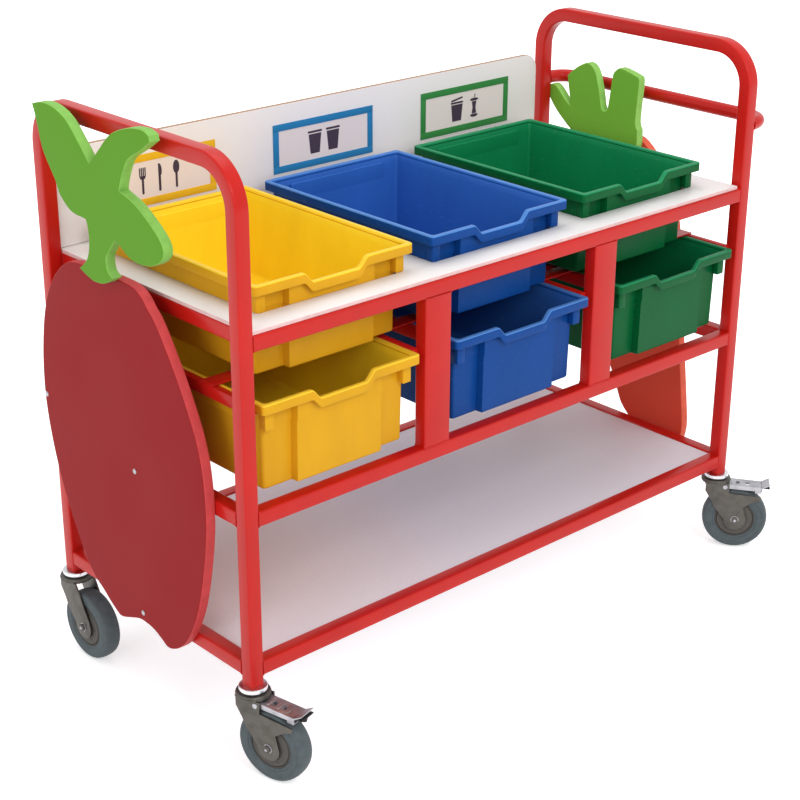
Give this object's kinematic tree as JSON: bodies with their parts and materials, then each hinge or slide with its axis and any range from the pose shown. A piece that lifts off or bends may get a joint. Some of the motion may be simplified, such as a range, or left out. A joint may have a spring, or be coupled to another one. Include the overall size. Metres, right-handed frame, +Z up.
{
  "type": "clearing trolley",
  "caption": "Wheeled school clearing trolley: red tube frame, lift-out trays over drawer trays, open base shelf, rear panel, side push bar and cut-out end boards.",
  "frame": {"origin": "on the floor, under the middle of the whole trolley's box", "axes": "+X along the trolley's length from the end with the dark red board to the end with the push handle, -Y towards the front where the lower trays are drawn out, +Z up"},
  "size_m": [1.273, 0.6332, 1.01],
  "materials": {
    "red_paint": "gloss powder coat",
    "white_board": "white melamine-faced board",
    "grey_board": "pale grey laminate",
    "yellow_plastic": "semi-gloss moulded polypropylene",
    "blue_plastic": "semi-gloss moulded polypropylene",
    "green_plastic": "semi-gloss moulded polypropylene",
    "dark_red_board": "dark red laminate on board, paler cut edge",
    "leaf_green_board": "leaf green laminate on board, paler cut edge",
    "orange_board": "orange laminate on board",
    "bright_steel": "bright plated",
    "zinc_steel": "zinc plated pressing",
    "hub_plastic": "moulded wheel centre",
    "grey_rubber": "grey non-marking rubber"
  },
  "bodies": {
    "frame": {"bay_1_left_runner": "red_paint", "bay_1_right_runner": "red_paint", "bay_2_left_runner": "red_paint", "bay_2_right_runner": "red_paint", "bay_3_left_runner": "red_paint", "bay_3_right_runner": "red_paint", "bottom_shelf": "grey_board", "front_bottom_rail": "red_paint", "front_left_caster_stem": "bright_steel", "front_left_upright": "red_paint", "front_mid_rail": "red_paint", "front_right_caster_stem": "bright_steel", "front_right_upright": "red_paint", "front_tie_strip": "red_paint", "front_top_rail": "red_paint", "left_bottom_side_rail": "red_paint", "left_end_body": "dark_red_board", "left_end_leaf": "leaf_green_board", "left_hoop": "red_paint", "left_leaf_spacer": "leaf_green_board", "left_mid_side_rail": "red_paint", "left_top_side_rail": "red_paint", "push_handle": "red_paint", "rear_bottom_rail": "red_paint", "rear_left_caster_stem": "bright_steel", "rear_left_upright": "red_paint", "rear_mid_rail": "red_paint", "rear_panel": "white_board", "rear_right_caster_stem": "bright_steel", "rear_right_upright": "red_paint", "rear_tie_strip": "red_paint", "rear_top_rail": "red_paint", "right_bottom_side_rail": "red_paint", "right_carrot_spacer": "orange_board", "right_end_carrot": "orange_board", "right_end_leaf": "leaf_green_board", "right_hoop": "red_paint", "right_mid_side_rail": "red_paint", "right_top_side_rail": "red_paint", "top_shelf": "white_board"},
    "blue_lower_tray": {"blue_lower_tray": "blue_plastic"},
    "blue_upper_tray": {"blue_upper_tray": "blue_plastic"},
    "front_left_brake_pedal": {"front_left_brake_pedal": "zinc_steel"},
    "front_left_swivel": {"front_left_caster_fork": "zinc_steel"},
    "front_left_wheel": {"front_left_caster_hub": "hub_plastic", "front_left_caster_tyre": "grey_rubber"},
    "front_right_brake_pedal": {"front_right_brake_pedal": "zinc_steel"},
    "front_right_swivel": {"front_right_caster_fork": "zinc_steel"},
    "front_right_wheel": {"front_right_caster_hub": "hub_plastic", "front_right_caster_tyre": "grey_rubber"},
    "green_lower_tray": {"green_lower_tray": "green_plastic"},
    "green_upper_tray": {"green_upper_tray": "green_plastic"},
    "rear_left_swivel": {"rear_left_caster_fork": "zinc_steel"},
    "rear_left_wheel": {"rear_left_caster_hub": "hub_plastic", "rear_left_caster_tyre": "grey_rubber"},
    "rear_right_swivel": {"rear_right_caster_fork": "zinc_steel"},
    "rear_right_wheel": {"rear_right_caster_hub": "hub_plastic", "rear_right_caster_tyre": "grey_rubber"},
    "yellow_lower_tray": {"yellow_lower_tray": "yellow_plastic"},
    "yellow_upper_tray": {"yellow_upper_tray": "yellow_plastic"}
  },
  "joints": [
    {"name": "front_left_swivel_turn", "type": "hinge", "parent": "frame", "child": "front_left_swivel", "pos_m": [-0.58742, -0.21261, 0.141], "axis": [0, 0, 1], "continuous": true},
    {"name": "front_left_wheel_spin", "type": "hinge", "parent": "front_left_swivel", "child": "front_left_wheel", "pos_m": [-0.57681, -0.25221, 0.0625], "axis": [0.9659, 0.2588, 0], "continuous": true},
    {"name": "front_left_brake_press", "type": "hinge", "parent": "front_left_swivel", "child": "front_left_brake_pedal", "pos_m": [-0.58276, -0.23, 0.1318], "axis": [0.9659, 0.2588, 0], "range_deg": [0, 5]},
    {"name": "front_right_swivel_turn", "type": "hinge", "parent": "frame", "child": "front_right_swivel", "pos_m": [0.55768, -0.21261, 0.141], "axis": [0, 0, 1], "continuous": true},
    {"name": "front_right_wheel_spin", "type": "hinge", "parent": "front_right_swivel", "child": "front_right_wheel", "pos_m": [0.58403, -0.24402, 0.0625], "axis": [0.766, 0.6428, 0], "continuous": true},
    {"name": "front_right_brake_press", "type": "hinge", "parent": "front_right_swivel", "child": "front_right_brake_pedal", "pos_m": [0.56925, -0.2264, 0.1318], "axis": [0.766, 0.6428, 0], "range_deg": [0, 5]},
    {"name": "rear_left_swivel_turn", "type": "hinge", "parent": "frame", "child": "rear_left_swivel", "pos_m": [-0.58742, 0.28839, 0.141], "axis": [0, 0, 1], "continuous": true},
    {"name": "rear_left_wheel_spin", "type": "hinge", "parent": "rear_left_swivel", "child": "rear_left_wheel", "pos_m": [-0.58599, 0.24741, 0.0625], "axis": [0.9994, 0.0349, 0], "continuous": true},
    {"name": "rear_right_swivel_turn", "type": "hinge", "parent": "frame", "child": "rear_right_swivel", "pos_m": [0.55768, 0.28839, 0.141], "axis": [0, 0, 1], "continuous": true},
    {"name": "rear_right_wheel_spin", "type": "hinge", "parent": "rear_right_swivel", "child": "rear_right_wheel", "pos_m": [0.57818, 0.25288, 0.0625], "axis": [0.866, 0.5, 0], "continuous": true},
    {"name": "yellow_upper_tray_lift", "type": "slide", "parent": "frame", "child": "yellow_upper_tray", "axis": [0, 0, 1], "range_m": [0, 0.16]},
    {"name": "yellow_lower_tray_draw", "type": "slide", "parent": "frame", "child": "yellow_lower_tray", "axis": [0, -1, 0], "range_m": [0, 0.36]},
    {"name": "blue_upper_tray_lift", "type": "slide", "parent": "frame", "child": "blue_upper_tray", "axis": [0, 0, 1], "range_m": [0, 0.16]},
    {"name": "blue_lower_tray_draw", "type": "slide", "parent": "frame", "child": "blue_lower_tray", "axis": [0, -1, 0], "range_m": [0, 0.36]},
    {"name": "green_upper_tray_lift", "type": "slide", "parent": "frame", "child": "green_upper_tray", "axis": [0, 0, 1], "range_m": [0, 0.16]},
    {"name": "green_lower_tray_draw", "type": "slide", "parent": "frame", "child": "green_lower_tray", "axis": [0, -1, 0], "range_m": [0, 0.36]}
  ]
}
